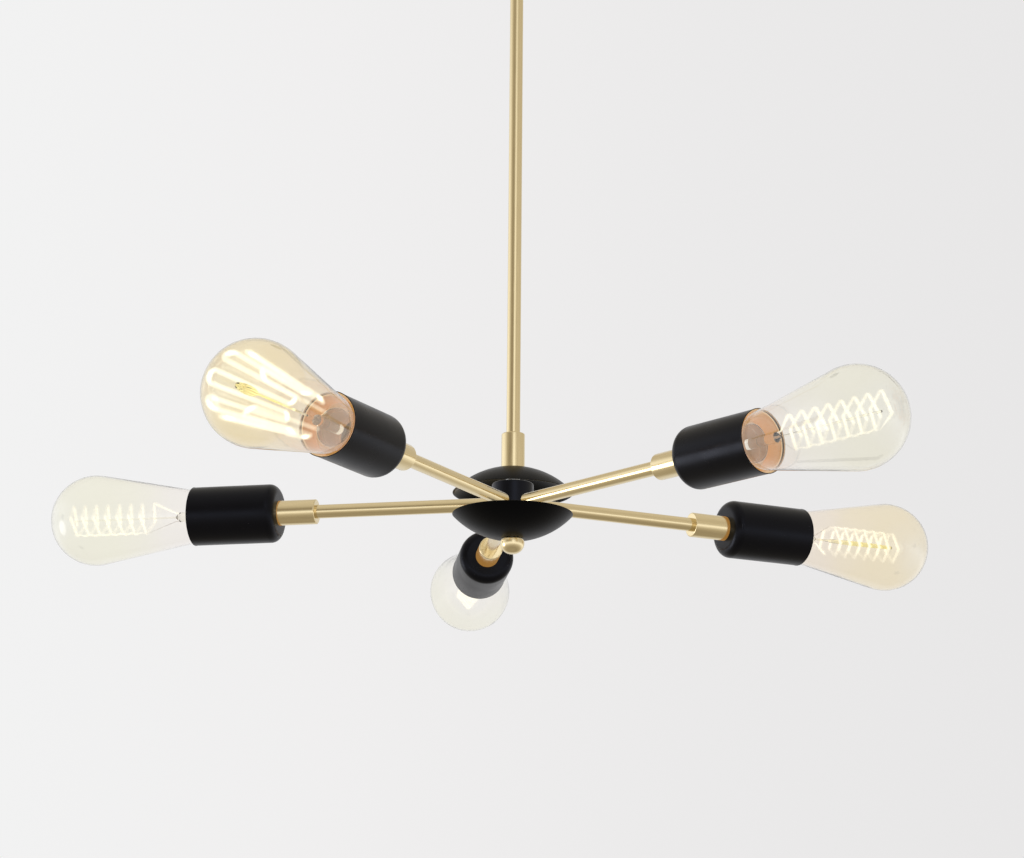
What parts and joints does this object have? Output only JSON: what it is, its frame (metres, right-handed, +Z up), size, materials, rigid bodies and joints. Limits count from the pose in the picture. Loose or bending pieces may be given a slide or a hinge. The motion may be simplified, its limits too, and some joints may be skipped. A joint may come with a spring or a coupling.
{
  "type": "sputnik chandelier",
  "caption": "Sputnik chandelier: brass tube arms spread level from a hub between black dishes, each with a black socket cup and a clear pear-shaped lamp, on a down rod and canopy.",
  "frame": {"origin": "on the ceiling plane, at the centre of the mounting strap, midway between its two outlet box slots", "axes": "+Z up into the ceiling, along the down rod; +X along the mounting strap, which is also the tilt axis of the swivel; the arms lie level below, the first 24.5 degrees from +X towards +Y"},
  "size_m": [0.6328, 0.6251, 0.5879],
  "materials": {
    "satin_brass": "satin, clear lacquered",
    "black_coat": "satin black powder coat",
    "zinc_steel": "bright zinc plated",
    "ground_green": "green passivated steel",
    "black_phenolic": "moulded, satin",
    "nickel_shell": "nickel plated, bright",
    "contact_brass": "plain rolled",
    "lamp_tip": "tinned contact on dark glass",
    "cap_brass": "bright rolled thread",
    "lamp_glass": "clear, faint warm tint",
    "filament": "glowing wire"
  },
  "bodies": {
    "canopy": {"mounting_strap": "zinc_steel", "canopy_studs": "zinc_steel", "canopy": "black_coat", "canopy_cap_nuts": "satin_brass", "ground_screw": "ground_green", "canopy_nipple": "zinc_steel", "canopy_washer": "zinc_steel", "canopy_locknut": "zinc_steel", "swivel_fork": "satin_brass"},
    "fixture": {"swivel_barrel": "satin_brass", "pivot_screws": "satin_brass", "down_rod": "satin_brass", "rod_collar": "satin_brass", "hub_body": "black_coat", "hub_nipples": "zinc_steel", "dish_locknuts": "zinc_steel", "finial": "satin_brass", "upper_dish": "black_coat", "lower_dish": "black_coat", "cup_nipples": "zinc_steel", "lamp_holders": "black_phenolic", "screw_shells": "nickel_shell", "centre_contacts": "contact_brass", "arm_1": "satin_brass", "arm_2": "satin_brass", "arm_3": "satin_brass", "arm_4": "satin_brass", "arm_5": "satin_brass", "socket_collar_1": "satin_brass", "socket_collar_2": "satin_brass", "socket_collar_3": "satin_brass", "socket_collar_4": "satin_brass", "socket_collar_5": "satin_brass", "socket_cup_1": "black_coat", "socket_cup_2": "black_coat", "socket_cup_3": "black_coat", "socket_cup_4": "black_coat", "socket_cup_5": "black_coat"},
    "lamp_1_tip": {"lamp_tip_1": "lamp_tip"},
    "lamp_1": {"lamp_cap_1": "cap_brass", "lamp_glass_1": "lamp_glass", "lamp_filament_1": "filament"},
    "lamp_2_tip": {"lamp_tip_2": "lamp_tip"},
    "lamp_2": {"lamp_cap_2": "cap_brass", "lamp_glass_2": "lamp_glass", "lamp_filament_2": "filament"},
    "lamp_3_tip": {"lamp_tip_3": "lamp_tip"},
    "lamp_3": {"lamp_cap_3": "cap_brass", "lamp_glass_3": "lamp_glass", "lamp_filament_3": "filament"},
    "lamp_4_tip": {"lamp_tip_4": "lamp_tip"},
    "lamp_4": {"lamp_cap_4": "cap_brass", "lamp_glass_4": "lamp_glass", "lamp_filament_4": "filament"},
    "lamp_5_tip": {"lamp_tip_5": "lamp_tip"},
    "lamp_5": {"lamp_cap_5": "cap_brass", "lamp_glass_5": "lamp_glass", "lamp_filament_5": "filament"}
  },
  "joints": [
    {"name": "swivel_tilt", "type": "hinge", "parent": "canopy", "child": "fixture", "pos_m": [0, 0, -0.0415], "axis": [1, 0, 0], "range_deg": [-40, 40]},
    {"name": "lamp_1_travel", "type": "slide", "parent": "fixture", "child": "lamp_1_tip", "axis": [0.91, 0.4147, 0], "range_m": [0, 0.01634]},
    {"name": "lamp_1_turn", "type": "hinge", "parent": "lamp_1_tip", "child": "lamp_1", "pos_m": [0, 0, -0.5529], "axis": [0.91, 0.4147, 0], "range_deg": [0, 1620]},
    {"name": "lamp_2_travel", "type": "slide", "parent": "fixture", "child": "lamp_2_tip", "axis": [-0.1132, 0.9936, 0], "range_m": [0, 0.01634]},
    {"name": "lamp_2_turn", "type": "hinge", "parent": "lamp_2_tip", "child": "lamp_2", "pos_m": [0, 0, -0.5529], "axis": [-0.1132, 0.9936, 0], "range_deg": [0, 1620]},
    {"name": "lamp_3_travel", "type": "slide", "parent": "fixture", "child": "lamp_3_tip", "axis": [-0.9799, 0.1994, 0], "range_m": [0, 0.01634]},
    {"name": "lamp_3_turn", "type": "hinge", "parent": "lamp_3_tip", "child": "lamp_3", "pos_m": [0, 0, -0.5529], "axis": [-0.9799, 0.1994, 0], "range_deg": [0, 1620]},
    {"name": "lamp_4_travel", "type": "slide", "parent": "fixture", "child": "lamp_4_tip", "axis": [-0.4924, -0.8704, 0], "range_m": [0, 0.01634]},
    {"name": "lamp_4_turn", "type": "hinge", "parent": "lamp_4_tip", "child": "lamp_4", "pos_m": [0, 0, -0.5529], "axis": [-0.4924, -0.8704, 0], "range_deg": [0, 1620]},
    {"name": "lamp_5_travel", "type": "slide", "parent": "fixture", "child": "lamp_5_tip", "axis": [0.6756, -0.7373, 0], "range_m": [0, 0.01634]},
    {"name": "lamp_5_turn", "type": "hinge", "parent": "lamp_5_tip", "child": "lamp_5", "pos_m": [0, 0, -0.5529], "axis": [0.6756, -0.7373, 0], "range_deg": [0, 1620]}
  ],
  "couplings": [
    {"joint": "lamp_1_travel", "follows": "lamp_1_turn", "m_per_rad": 0.00057751},
    {"joint": "lamp_2_travel", "follows": "lamp_2_turn", "m_per_rad": 0.00057751},
    {"joint": "lamp_3_travel", "follows": "lamp_3_turn", "m_per_rad": 0.00057751},
    {"joint": "lamp_4_travel", "follows": "lamp_4_turn", "m_per_rad": 0.00057751},
    {"joint": "lamp_5_travel", "follows": "lamp_5_turn", "m_per_rad": 0.00057751}
  ]
}
